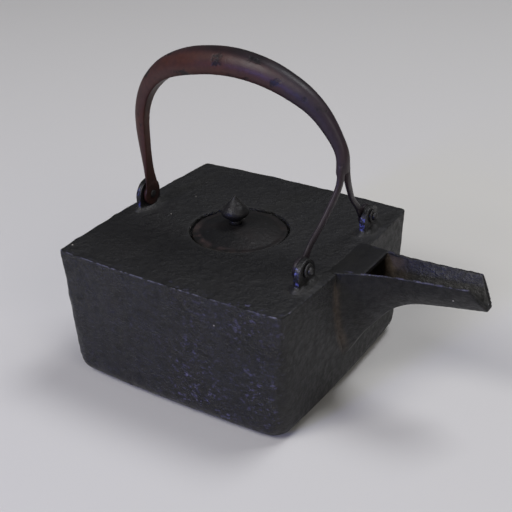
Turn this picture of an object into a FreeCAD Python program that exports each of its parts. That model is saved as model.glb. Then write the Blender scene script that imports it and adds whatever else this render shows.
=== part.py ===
import FreeCAD, Part
import math
import os

from FreeCAD import Vector

os.makedirs("parts", exist_ok=True)

# Square cast-iron pouring kettle. Origin: centre of the flat base face. +X is the pouring direction,
# +Z is up. All sizes in millimetres.

# body casting
sideWidth = 134.0
sideCrown = 2.0
bodyHeight = 75.0
draft = 0.8
cornerTop = 2.2
cornerBase = 12.0
baseRound = 10.0
rimRound = 0.9
wall = 3.6
topPlate = 4.0
cavityRound = 5.0

# mouth and lid
lidCentreX = 1.0
mouthRadius = 22.5
seatRadius = 26.8
seatDepth = 3.4
mouthBossRadius = 31.0
mouthBossDrop = 3.5
lidRadius = 25.6
lidEdgeDrop = 0.9
lidRimWidth = 3.2
lidRimStep = 0.45
lidDome = 3.7
flangeOuter = 21.9
flangeWall = 2.4
flangeDrop = 5.0

# knob, set a little off the lid's centre
knobX = -1.7
stemRadius = 2.0
stemClearance = 0.06
collarRadius = 3.3
collarHeight = 2.2
knobSeatDepth = 0.3
budHeight = 14.0
washerRadius = 5.0
washerThickness = 1.0
peenRadius = 3.2
peenHeight = 1.3

# lugs, pins and their washers
lugThickness = 3.1
frontLugRadius = 8.0
rearLugRadius = 8.8
frontLugCentre = 5.8
rearLugCentre = 7.2
lugPadHeight = 2.0
frontLugX = 60.2
frontLugY = 34.4
frontPinHeight = 8.2
rearLugX = -60.2
rearPinHeight = 7.6
pinRadius = 1.6
pinHeadRadius = 2.2
pinHeadHeight = 2.2
lugWasherRadius = 3.7
washerPlate = 1.3
tenonWidth = 9.0

# handle
eyeThickness = 2.1
rearEyeRadius = 6.3
frontEyeRadius = 5.8
clearDepth = 12.0

# spout
spoutWall = 2.8
hoodEnd = 81.5
tipTopX = 133.0
tipTopHeight = 5.4
tipBaseX = 142.6
tipBaseDepth = 9.5


def outline(half, crown, corner, z):
    """Closed square outline with gently bowed sides and rounded corners, at height z."""
    reach = (half * half + crown * crown) / (2 * crown)
    middle = half + crown - reach
    c = (middle + math.sqrt(2 * (reach - corner) ** 2 - middle ** 2)) / 2
    length = math.hypot(c - middle, c)
    side = Vector(middle + reach * (c - middle) / length, reach * c / length, z)
    nose = Vector(c + corner / math.sqrt(2), c + corner / math.sqrt(2), z)
    bow = Vector(half + crown, 0, z)
    edges = []
    for quarter in range(4):
        turn = FreeCAD.Rotation(Vector(0, 0, 1), 90 * quarter)
        low = Vector(side.x, -side.y, z)
        across = Vector(side.y, side.x, z)
        edges.append(Part.Arc(turn.multVec(low), turn.multVec(bow), turn.multVec(side)).toShape())
        edges.append(Part.Arc(turn.multVec(side), turn.multVec(nose), turn.multVec(across)).toShape())
    return Part.Wire(edges)


def edges_at(shape, z):
    return [e for e in shape.Edges if abs(e.BoundBox.ZMin - z) < 0.01 and abs(e.BoundBox.ZMax - z) < 0.01]


def box_block(inset, low, high, corner_low, corner_high, low_round, high_round):
    """Block with the body's outline moved in by inset, between two heights, with rounded edges."""
    half = sideWidth / 2 - inset
    base = outline(half - draft, sideCrown, corner_low, low)
    rim = outline(half, sideCrown, corner_high, high)
    block = Part.makeLoft([base, rim], True, True)
    block = block.makeFillet(low_round, edges_at(block, low))
    return block.makeFillet(high_round, edges_at(block, high))


def turned(points, x, y, z):
    """Solid of revolution about a vertical axis through (x, y); points are (radius, height)."""
    path = [Vector(x + r, y, z + h) for r, h in points]
    face = Part.Face(Part.makePolygon(path + [path[0]]))
    return face.revolve(Vector(x, y, 0), Vector(0, 0, 1), 360)


def spline(points):
    curve = Part.BSplineCurve()
    curve.interpolate(points)
    return curve.toShape()


def disc_x(x, y, z, radius, thickness):
    """Round plate facing along X, starting at x."""
    return Part.makeCylinder(radius, thickness, Vector(x, y, z), Vector(1, 0, 0))


def body_envelope():
    return box_block(0, 0, bodyHeight, cornerBase, cornerTop, baseRound, rimRound)


def cavity():
    top = bodyHeight - topPlate
    return box_block(wall, wall, top, cornerBase - wall, 3.0, cavityRound, 1.5)


def mouth_boss():
    drop = topPlate + mouthBossDrop
    return Part.makeCylinder(mouthBossRadius, drop, Vector(lidCentreX, 0, bodyHeight - drop))


def mouth_cut():
    seat = Part.makeCylinder(seatRadius, seatDepth + 5, Vector(lidCentreX, 0, bodyHeight - seatDepth))
    bore = Part.makeCylinder(mouthRadius, 30, Vector(lidCentreX, 0, bodyHeight - 20))
    return seat.fuse(bore)


# Spout stations: x, rim height above the top plate, half width at the rim, half width at mid depth,
# keel height above the base, half width of the keel.
spoutStations = [
    (63.0, -0.4, 17.6, 15.0, 14.0, 1.6),
    (70.0, 0.7, 17.0, 13.2, 23.0, 1.8),
    (77.0, 1.6, 15.6, 11.6, 33.5, 2.2),
    (85.0, 2.2, 13.6, 10.0, 45.0, 2.6),
    (93.0, 2.8, 12.2, 8.8, 55.0, 2.8),
    (103.0, 3.5, 11.4, 8.2, 60.2, 2.8),
    (117.0, 4.4, 10.6, 7.6, 63.6, 2.7),
    (132.0, 5.4, 9.8, 6.8, 66.2, 2.6),
    (145.0, 6.2, 9.2, 6.2, 68.2, 2.6),
]


def spout_sides(station, shrink):
    """Curved sides of the U-shaped section, from rim to keel and back; shrink moves them inwards."""
    x, rim, top_half, mid_half, keel, keel_half = station
    top = bodyHeight + rim
    low = keel + shrink
    mid = low + 0.45 * (top - low)
    t = top_half - shrink
    m = mid_half - shrink
    k = max(keel_half - 0.5 * shrink, 0.9)
    right = [Vector(x, t, top), Vector(x, m, mid), Vector(x, k, low)]
    left = [Vector(x, -p.y, p.z) for p in reversed(right)]
    return right, left


def outer_section(station):
    right, left = spout_sides(station, 0)
    keel_line = Part.makeLine(right[-1], left[0])
    rim_line = Part.makeLine(left[-1], right[0])
    return Part.Wire([spline(right), keel_line, spline(left), rim_line])


def inner_section(station):
    """Inside of the trough, carried straight up past the rim."""
    right, left = spout_sides(station, spoutWall)
    up = Vector(0, 0, 8)
    corners = [left[-1], left[-1] + up, right[0] + up, right[0]]
    risers = [Part.makeLine(low, high) for low, high in zip(corners, corners[1:])]
    return Part.Wire([spline(right), Part.makeLine(right[-1], left[0]), spline(left)] + risers)


def hood_block():
    """Everything above the hood's underside, from inside the body to the hood's cut end."""
    first, last = spoutStations[0], spoutStations[-1]
    rise = (last[1] - first[1]) / (last[0] - first[0])
    low = bodyHeight + first[1] - spoutWall
    start = first[0] - 1
    points = [Vector(start, -30, low - rise), Vector(hoodEnd, -30, low + rise * (hoodEnd - first[0])),
              Vector(hoodEnd, -30, low + 30), Vector(start, -30, low + 30)]
    return Part.Face(Part.makePolygon(points + [points[0]])).extrude(Vector(0, 60, 0))


def tip_cutter():
    """Everything beyond the slanted cut at the spout's tip."""
    above, below = 20.0, 30.0
    slope = (tipBaseX - tipTopX) / (tipTopHeight + tipBaseDepth)
    points = [
        Vector(tipTopX - (above - tipTopHeight) * slope, -30, bodyHeight + above),
        Vector(tipBaseX + (below - tipBaseDepth) * slope, -30, bodyHeight - below),
        Vector(200, -30, bodyHeight - below),
        Vector(200, -30, bodyHeight + above),
    ]
    return Part.Face(Part.makePolygon(points + [points[0]])).extrude(Vector(0, 60, 0))


def channel():
    """The pouring way: covered as far as the hood's end, open above from there on."""
    return Part.makeLoft([inner_section(s) for s in spoutStations], True, False).cut(hood_block())


def make_spout():
    outer = Part.makeLoft([outer_section(s) for s in spoutStations], True, False)
    return outer.cut(tip_cutter()).cut(body_envelope()).cut(channel())


def lug(x, y, centre_height, pin_height, radius):
    """Upright ear facing along X on a low pad, with a tenon through the top plate."""
    start = x - lugThickness / 2
    ear = disc_x(start, y, bodyHeight + centre_height, radius, lugThickness)
    foot = Part.makeBox(lugThickness, 2 * radius, centre_height, Vector(start, y - radius, bodyHeight))
    low = pad_ring(x, y, 5.5, radius + 3.5, 0)
    high = pad_ring(x, y, 2.2, radius + 0.6, lugPadHeight)
    pad = Part.makeLoft([low, high], True, False)
    tenon = Part.makeBox(lugThickness, tenonWidth, topPlate,
                         Vector(start, y - tenonWidth / 2, bodyHeight - topPlate))
    hole = disc_x(start - 1, y, bodyHeight + pin_height, pinRadius, lugThickness + 2)
    return ear.fuse([foot, pad, tenon]).cut(hole).removeSplitter()


def pad_ring(x, y, half_x, half_y, h):
    ring = Part.Ellipse(Vector(x, y + half_y, bodyHeight + h), Vector(x + half_x, y, bodyHeight + h),
                        Vector(x, y, bodyHeight + h))
    return Part.Wire([ring.toShape()])


# Arch stations from the rear foot over the grip to the fork: x, height above the top plate, angle of
# the outward normal from +X, thickness, half width.
archStations = [
    (-57.8, 10.0, 180, 2.2, 5.2),
    (-58.2, 17.5, 181, 2.3, 4.3),
    (-59.4, 26.0, 184, 4.0, 3.2),
    (-60.3, 36.0, 184, 5.8, 3.0),
    (-60.6, 53.0, 172, 7.4, 3.4),
    (-56.0, 68.0, 146, 8.6, 4.3),
    (-47.6, 78.3, 133, 10.0, 5.6),
    (-38.7, 84.2, 122, 11.5, 7.0),
    (-22.4, 89.7, 107, 12.7, 8.1),
    (-2.0, 92.0, 89, 12.4, 8.3),
    (17.7, 90.0, 73, 11.7, 7.6),
    (36.7, 83.0, 58, 10.0, 6.0),
    (48.6, 75.0, 46, 8.4, 4.9),
    (58.0, 63.2, 30, 6.7, 4.2),
    (62.1, 53.5, 8, 5.4, 4.3),
    (62.2, 48.5, 2, 4.6, 4.8),
    (62.2, 45.8, 0, 4.0, 5.0),
]

# Prong stations from the fork down to the eye: x, y, height above the top plate, thickness, half width.
prongStations = [
    (62.2, 2.6, 50.0, 3.4, 2.3),
    (62.2, 3.1, 45.0, 3.2, 2.4),
    (62.1, 4.5, 40.0, 2.9, 2.4),
    (61.3, 8.1, 34.2, 2.7, 2.3),
    (60.1, 12.9, 28.0, 2.5, 2.1),
    (58.9, 18.8, 21.9, 2.4, 2.0),
    (57.9, 25.6, 15.6, 2.2, 2.2),
    (57.4, 31.8, 10.4, 2.1, 3.4),
]


def d_section(x, z, degrees, thickness, half):
    """D-shaped section: flat inner face, rounded outer face, across Y."""
    out = Vector(math.cos(math.radians(degrees)), 0, math.sin(math.radians(degrees)))
    centre = Vector(x, 0, bodyHeight + z)
    points = []
    for across, along in ((-0.82, -0.5), (-1.0, -0.28), (-0.86, 0.16), (-0.48, 0.43), (0, 0.5),
                          (0.48, 0.43), (0.86, 0.16), (1.0, -0.28), (0.82, -0.5)):
        points.append(centre + out * (along * thickness) + Vector(0, across * half, 0))
    return Part.Wire([spline(points), Part.makeLine(points[-1], points[0])])


def bar_section(centre, along, thickness, half):
    """Rounded bar section square to the direction along, thickness measured near X."""
    wide = along.cross(Vector(1, 0, 0)).normalize()
    thin = wide.cross(along).normalize()
    points = []
    for step in range(8):
        angle = math.radians(22.5 + 45 * step)
        points.append(centre + thin * (math.cos(angle) * thickness * 0.5) + wide * (math.sin(angle) * half))
    points.append(points[0])
    return Part.Wire([spline(points[:5]), spline(points[4:])])


def prong():
    centres = [Vector(s[0], s[1], bodyHeight + s[2]) for s in prongStations]
    wires = []
    for i, station in enumerate(prongStations):
        before = centres[max(i - 1, 0)]
        after = centres[min(i + 1, len(centres) - 1)]
        wires.append(bar_section(centres[i], (after - before).normalize(), station[3], station[4]))
    return Part.makeLoft(wires, True, False)


def mirrored_y(shape):
    return shape.mirror(Vector(0, 0, 0), Vector(0, 1, 0))


def front_eye_x():
    return frontLugX - lugThickness / 2 - eyeThickness


def rear_eye_x():
    return rearLugX + lugThickness / 2


def make_handle(lugs):
    arch = Part.makeLoft([d_section(*s) for s in archStations], True, False)
    left = prong()
    left_eye = disc_x(front_eye_x(), frontLugY, bodyHeight + frontPinHeight, frontEyeRadius, eyeThickness)
    rear_eye = disc_x(rear_eye_x(), 0, bodyHeight + rearPinHeight, rearEyeRadius, eyeThickness)
    bar = arch.fuse([left, mirrored_y(left), left_eye, mirrored_y(left_eye), rear_eye])
    holes = [disc_x(front_eye_x() - 5, s * frontLugY, bodyHeight + frontPinHeight, pinRadius, 12) for s in (-1, 1)]
    holes.append(disc_x(rear_eye_x() - 3, 0, bodyHeight + rearPinHeight, pinRadius, 12))
    clear = [lug_side(frontLugX - lugThickness / 2, s * frontLugY, frontLugCentre + frontLugRadius) for s in (-1, 1)]
    clear.append(lug_side(rearLugX + lugThickness / 2 - clearDepth, 0, rearLugCentre + rearLugRadius))
    return bar.cut(holes + clear).cut(lugs)


def lug_side(start, y, top):
    """Space of a lug and beyond it, so that the handle's feet lie flat against the lugs."""
    return Part.makeBox(clearDepth, 30, top + 1, Vector(start, y - 15, bodyHeight))


def dome_x(x, y, z, radius, height, direction):
    """Low domed head with its flat side at x, standing out along +X or -X."""
    sphere_radius = (radius * radius + height * height) / (2 * height)
    ball = Part.makeSphere(sphere_radius, Vector(x + direction * (height - sphere_radius), y, z))
    start = x if direction > 0 else x - height
    return ball.common(disc_x(start, y, z, radius + 1, height))


def rivet(y, z, start, end, start_head, end_head):
    """Pin along X between start and end with a domed head at each end."""
    shank = disc_x(start, y, bodyHeight + z, pinRadius, end - start)
    low = dome_x(start, y, bodyHeight + z, pinHeadRadius, start_head, -1)
    high = dome_x(end, y, bodyHeight + z, pinHeadRadius, end_head, 1)
    return shank.fuse([low, high]).removeSplitter()


def ring_x(x, y, z, radius):
    plate = disc_x(x, y, bodyHeight + z, radius, washerPlate)
    return plate.cut(disc_x(x - 1, y, bodyHeight + z, pinRadius, washerPlate + 2))


def make_lid():
    edge = -lidEdgeDrop
    inner = lidRadius - lidRimWidth
    crown_low = edge + lidRimStep
    crown_top = crown_low + lidDome
    ring = flangeOuter - flangeWall
    flange_low = -seatDepth - flangeDrop
    outline_points = [(0, -seatDepth), (ring, -seatDepth), (ring, flange_low), (flangeOuter, flange_low),
                      (flangeOuter, -seatDepth), (lidRadius, -seatDepth), (lidRadius, edge - 0.5),
                      (lidRadius - 0.5, edge), (inner, edge), (inner - 0.6, crown_low)]
    path = [Vector(r, 0, h) for r, h in outline_points]
    middle = Vector(inner * 0.52, 0, crown_low + lidDome * 0.74)
    crown = Part.Arc(path[-1], middle, Vector(0, 0, crown_top)).toShape()
    edges = [Part.makeLine(low, high) for low, high in zip(path, path[1:])]
    edges.append(crown)
    edges.append(Part.makeLine(Vector(0, 0, crown_top), path[0]))
    disc = Part.Face(Part.Wire(edges)).revolve(Vector(0, 0, 0), Vector(0, 0, 1), 360)
    disc.translate(Vector(lidCentreX, 0, bodyHeight))
    hole = Part.makeCylinder(stemRadius + stemClearance, 30, Vector(knobX, 0, bodyHeight - 15))
    seat = Part.makeCylinder(collarRadius + 0.3, 5, Vector(knobX, 0, collar_base()))
    return disc.cut([hole, seat])


def collar_base():
    """Height of the small flat that the knob's collar sits on."""
    return bodyHeight - lidEdgeDrop + lidRimStep + lidDome - knobSeatDepth


def make_collar():
    bore = stemRadius + stemClearance
    points = [(bore, 0), (collarRadius, 0), (collarRadius, collarHeight - 0.5),
              (collarRadius - 0.6, collarHeight), (bore, collarHeight)]
    return turned(points, knobX, 0, collar_base())


# Bud outline from its foot to its tip: radius, height above the collar.
budOutline = [(2.9, 0), (3.6, 0.7), (5.6, 1.9), (7.0, 3.2), (7.5, 4.6), (7.0, 6.3), (5.3, 8.4), (3.3, 10.4),
              (1.8, 12.0), (0.9, 13.2), (0.0, budHeight)]


def make_knob():
    base = collar_base() + collarHeight
    under = bodyHeight - seatDepth - washerThickness
    stem = Part.makeCylinder(stemRadius, base - under + 1, Vector(knobX, 0, under))
    peen = turned([(0, 0), (peenRadius, 0), (peenRadius * 0.8, -peenHeight * 0.6),
                   (peenRadius * 0.4, -peenHeight), (0, -peenHeight)], knobX, 0, under)
    side = spline([Vector(r, 0, h) for r, h in budOutline])
    axis_line = Part.makeLine(Vector(0, 0, budHeight), Vector(0, 0, 0))
    floor_line = Part.makeLine(Vector(0, 0, 0), Vector(budOutline[0][0], 0, 0))
    bud = Part.Face(Part.Wire([floor_line, side, axis_line])).revolve(Vector(0, 0, 0), Vector(0, 0, 1), 360)
    bud.translate(Vector(knobX, 0, base))
    return bud.fuse([stem, peen])


def make_knob_washer():
    z = bodyHeight - seatDepth - washerThickness
    plate = Part.makeCylinder(washerRadius, washerThickness, Vector(knobX, 0, z))
    return plate.cut(Part.makeCylinder(stemRadius + stemClearance, 6, Vector(knobX, 0, z - 2)))


def make_body(lugs):
    shell = body_envelope().cut(cavity()).fuse(mouth_boss().common(body_envelope()))
    shell = shell.cut(mouth_cut())
    return shell.cut(channel()).cut(lugs)


def save(name, shape):
    assert shape.isValid() and len(shape.Solids) == 1, name + " is not one valid solid"
    shape.Solids[0].exportStep("parts/" + name + ".step")
    corners = shape.tessellate(0.2)[0]
    spans = [(min(c[i] for c in corners), max(c[i] for c in corners)) for i in range(3)]
    text = ", ".join(f"{axis} {low:.1f}..{high:.1f}" for axis, (low, high) in zip("xyz", spans))
    print(f"{name}: {shape.Volume / 1000:.2f} cm3, {text}")


lugs = {
    "rear_lug": lug(rearLugX, 0, rearLugCentre, rearPinHeight, rearLugRadius),
    "right_lug": lug(frontLugX, -frontLugY, frontLugCentre, frontPinHeight, frontLugRadius),
    "left_lug": lug(frontLugX, frontLugY, frontLugCentre, frontPinHeight, frontLugRadius),
}
for name, shape in lugs.items():
    save(name, shape)
save("kettle_body", make_body(list(lugs.values())))
save("spout", make_spout())
save("handle", make_handle(list(lugs.values())))
save("lid", make_lid())
save("knob", make_knob())
save("knob_collar", make_collar())
save("knob_washer", make_knob_washer())
frontOut = frontLugX + lugThickness / 2
for name, side in (("right", -1), ("left", 1)):
    save(name + "_washer", ring_x(frontOut, side * frontLugY, frontPinHeight, lugWasherRadius))
    save(name + "_rivet", rivet(side * frontLugY, frontPinHeight, front_eye_x(), frontOut + washerPlate,
                                0.9, pinHeadHeight))
rearOut = rearLugX - lugThickness / 2
save("rear_washer", ring_x(rearOut - washerPlate, 0, rearPinHeight, lugWasherRadius))
save("rear_rivet", rivet(0, rearPinHeight, rearOut - washerPlate, rear_eye_x() + eyeThickness, pinHeadHeight, 0.7))
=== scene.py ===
import math

import bmesh
import bpy
from mathutils import Matrix, Vector, noise


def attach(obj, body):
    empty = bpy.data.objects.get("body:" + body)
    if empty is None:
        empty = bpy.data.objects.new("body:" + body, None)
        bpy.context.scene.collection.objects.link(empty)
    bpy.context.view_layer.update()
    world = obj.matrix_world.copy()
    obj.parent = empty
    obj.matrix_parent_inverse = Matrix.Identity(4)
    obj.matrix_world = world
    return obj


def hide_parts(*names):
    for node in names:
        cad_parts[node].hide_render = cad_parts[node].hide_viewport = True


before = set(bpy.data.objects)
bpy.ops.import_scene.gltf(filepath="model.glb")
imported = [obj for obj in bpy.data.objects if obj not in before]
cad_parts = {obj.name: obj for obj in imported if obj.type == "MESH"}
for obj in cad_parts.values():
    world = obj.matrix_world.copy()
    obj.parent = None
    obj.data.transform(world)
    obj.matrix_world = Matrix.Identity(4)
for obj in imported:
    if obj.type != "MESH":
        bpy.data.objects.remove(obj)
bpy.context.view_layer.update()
mm = 0.001
print("frame loaded:", len(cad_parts), "nodes")

# Camera: the eye in metres, the direction it looks back along, its roll and its lens.
view = {"eye": (0.2587, -0.3855, 0.3067), "azimuth": 32.73, "elevation": 28.17, "roll": -1.13, "lens": 68.14}


def makeCamera():
    azimuth = math.radians(view["azimuth"])
    elevation = math.radians(view["elevation"])
    back = Vector((math.sin(azimuth) * math.cos(elevation), -math.cos(azimuth) * math.cos(elevation),
                   math.sin(elevation)))
    right = Vector((math.cos(azimuth), math.sin(azimuth), 0))
    up = back.cross(right)
    roll = math.radians(view["roll"])
    across = right * math.cos(roll) + up * math.sin(roll)
    upward = up * math.cos(roll) - right * math.sin(roll)
    lensData = bpy.data.cameras.new("camera")
    lensData.sensor_width = 36
    lensData.lens = view["lens"]
    lensData.clip_start = 0.01
    camera = bpy.data.objects.new("camera", lensData)
    turn = Matrix((across, upward, back)).transposed().to_4x4()
    camera.matrix_world = Matrix.Translation(view["eye"]) @ turn
    bpy.context.scene.collection.objects.link(camera)
    bpy.context.scene.camera = camera


makeCamera()


# Nodes: a short way to add one, set its inputs and link it.
def add(tree, kind, settings=None, **inputs):
    node = tree.nodes.new(kind)
    for name, value in (settings or {}).items():
        setattr(node, name, value)
    for name, value in inputs.items():
        socket = node.inputs[int(name[1:])] if name[0] == "i" and name[1:].isdigit() else node.inputs[name]
        if hasattr(value, "is_linked"):
            tree.links.new(value, socket)
        else:
            socket.default_value = value
    return node


def startGroup(name, inputs, outputs):
    tree = bpy.data.node_groups.new(name, "ShaderNodeTree")
    for title, kind, value in inputs:
        socket = tree.interface.new_socket(title, in_out="INPUT", socket_type=kind)
        if value is not None:
            socket.default_value = value
    for title, kind in outputs:
        tree.interface.new_socket(title, in_out="OUTPUT", socket_type=kind)
    return tree, tree.nodes.new("NodeGroupInput"), tree.nodes.new("NodeGroupOutput")


floatSocket = "NodeSocketFloat"
vectorSocket = "NodeSocketVector"


def noiseNode(tree, place, scale, detail=4.0, roughness=0.55):
    node = add(tree, "ShaderNodeTexNoise", Vector=place, Scale=scale, Detail=detail, Roughness=roughness)
    return node.outputs["Fac"]


def spread(tree, value, low, high, toLow=0.0, toHigh=1.0):
    node = add(tree, "ShaderNodeMapRange", {"interpolation_type": "SMOOTHSTEP"}, i0=value)
    node.inputs["From Min"].default_value = low
    node.inputs["From Max"].default_value = high
    node.inputs["To Min"].default_value = toLow
    node.inputs["To Max"].default_value = toHigh
    return node.outputs["Result"]


def maths(tree, operation, first, second, clamp=False):
    node = add(tree, "ShaderNodeMath", {"operation": operation, "use_clamp": clamp}, i0=first, i1=second)
    return node.outputs[0]


def blendColour(tree, factor, first, second):
    node = add(tree, "ShaderNodeMix", {"data_type": "RGBA"}, i0=factor, i6=first, i7=second)
    return node.outputs[2]


# Sand-cast skin: noise scales are per metre, and a range is where a mask starts and ends and its two values.
sandCast = {"stretch": (1.0, 1.0, 1.35), "coarseScale": 0.36, "fineShare": 0.55, "coarseShare": 0.9,
            "whereScale": 42.0, "whereRange": (0.36, 0.62, 0.25, 1.0), "paintedGlintScale": 360.0,
            "paintedGlintRange": (0.55, 0.66), "toneRange": (0.32, 0.68), "patchScale": 38.0,
            "patchRange": (0.42, 0.66)}


def castSkinGroup():
    # Grain of two sizes, shallow ripples, small flecks that carry the painted glints, and tones that wander
    # over the surface.
    tree, start, end = startGroup("castSkin", [
        ("Place", vectorSocket, None), ("Grain", floatSocket, 900.0), ("Ripple", floatSocket, 150.0),
        ("Ripple Depth", floatSocket, 0.6)],
        [("Height", floatSocket), ("Tone", floatSocket), ("Patch", floatSocket), ("Painted Glint Fleck", floatSocket)])
    place = start.outputs["Place"]
    stretched = add(tree, "ShaderNodeVectorMath", {"operation": "MULTIPLY"}, i0=place, i1=sandCast["stretch"])
    flat = stretched.outputs[0]
    fine = noiseNode(tree, place, start.outputs["Grain"], 5.0, 0.65)
    coarseScale = maths(tree, "MULTIPLY", start.outputs["Grain"], sandCast["coarseScale"])
    coarse = noiseNode(tree, place, coarseScale, 3.0, 0.6)
    ripple = noiseNode(tree, flat, start.outputs["Ripple"], 5.0, 0.62)
    where = spread(tree, noiseNode(tree, place, sandCast["whereScale"], 3.0), *sandCast["whereRange"])
    fineGrain = maths(tree, "MULTIPLY", fine, sandCast["fineShare"])
    grain = maths(tree, "ADD", fineGrain, maths(tree, "MULTIPLY", coarse, sandCast["coarseShare"]))
    depth = maths(tree, "MULTIPLY", where, start.outputs["Ripple Depth"])
    height = maths(tree, "ADD", grain, maths(tree, "MULTIPLY", ripple, depth))
    # Small flecks: the mask for the painted glints of bluish light.
    paintedGlintFlecks = spread(tree, noiseNode(tree, flat, sandCast["paintedGlintScale"], 4.0, 0.6), *sandCast["paintedGlintRange"])
    patch = spread(tree, noiseNode(tree, place, sandCast["patchScale"], 4.0, 0.6), *sandCast["patchRange"])
    tree.links.new(height, end.inputs["Height"])
    tree.links.new(maths(tree, "MULTIPLY", paintedGlintFlecks, where), end.inputs["Painted Glint Fleck"])
    tree.links.new(spread(tree, coarse, *sandCast["toneRange"]), end.inputs["Tone"])
    tree.links.new(patch, end.inputs["Patch"])
    return tree


def edgeWearGroup():
    # Where the surface turns outwards, broken up by a noise so that the rub is uneven.
    tree, start, end = startGroup("edgeWear", [
        ("Place", vectorSocket, None), ("Low", floatSocket, 0.52), ("High", floatSocket, 0.58),
        ("Break Scale", floatSocket, 260.0)], [("Wear", floatSocket)])
    bend = tree.nodes.new("ShaderNodeNewGeometry").outputs["Pointiness"]
    rub = add(tree, "ShaderNodeMapRange", {"interpolation_type": "SMOOTHSTEP"}, i0=bend)
    tree.links.new(start.outputs["Low"], rub.inputs["From Min"])
    tree.links.new(start.outputs["High"], rub.inputs["From Max"])
    breaks = noiseNode(tree, start.outputs["Place"], start.outputs["Break Scale"])
    uneven = spread(tree, breaks, 0.4, 0.62)
    tree.links.new(maths(tree, "MULTIPLY", rub.outputs["Result"], uneven), end.inputs["Wear"])
    return tree


def speckGroup():
    # A few pale specks of lint and lime, each under a millimetre.
    tree, start, end = startGroup("specks", [
        ("Place", vectorSocket, None), ("Scale", floatSocket, 95.0), ("Size", floatSocket, 0.04)],
        [("Speck", floatSocket)])
    bareShare = 0.7  # of the cells, which get no speck
    place = start.outputs["Place"]
    cells = add(tree, "ShaderNodeTexVoronoi", Vector=place, Scale=start.outputs["Scale"])
    near = maths(tree, "LESS_THAN", cells.outputs["Distance"], start.outputs["Size"])
    chance = add(tree, "ShaderNodeSeparateColor", Color=cells.outputs["Color"]).outputs[0]
    chosen = maths(tree, "GREATER_THAN", chance, bareShare)
    tree.links.new(maths(tree, "MULTIPLY", near, chosen), end.inputs["Speck"])
    return tree


castSkin = castSkinGroup()
edgeWear = edgeWearGroup()
specks = speckGroup()


def useGroup(tree, group, **inputs):
    node = tree.nodes.new("ShaderNodeGroup")
    node.node_tree = group
    for name, value in inputs.items():
        socket = node.inputs[name.replace("_", " ")]
        if hasattr(value, "is_linked"):
            tree.links.new(value, socket)
        else:
            socket.default_value = value
    return node


def attributeFactor(tree, name):
    return add(tree, "ShaderNodeAttribute", {"attribute_name": name}).outputs["Fac"]


def startMaterial(name):
    material = bpy.data.materials.new(name)
    material.use_nodes = True
    tree = material.node_tree
    shader = tree.nodes["Principled BSDF"]
    place = tree.nodes.new("ShaderNodeTexCoord").outputs["Object"]
    return material, tree, shader, place


def finishMaterial(tree, shader, colour, roughness, height, strength, distance):
    tree.links.new(colour, shader.inputs["Base Color"])
    tree.links.new(roughness, shader.inputs["Roughness"])
    bump = add(tree, "ShaderNodeBump", Height=height, Strength=strength, Distance=distance)
    tree.links.new(bump.outputs["Normal"], shader.inputs["Normal"])


# What each effect does to the colour, relief and roughness of every cast piece; the darkening of the calm
# parts is painted shade.
castEffects = {"paintedShadeAmount": 0.7, "calmRelief": 0.6, "calmRough": 0.16, "dirtRough": 0.2, "rubRough": 0.12,
               "glintRough": 0.15, "dullest": 0.08, "glossiest": 0.06, "rubScale": 330.0,
               "rubRange": (0.44, 0.6), "rustRange": (0.6, 1.1, 0.35, 1.0), "dustRange": (0.0, 1.0, 0.4, 1.0),
               "speck": (0.45, 0.42, 0.4, 1)}


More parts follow.
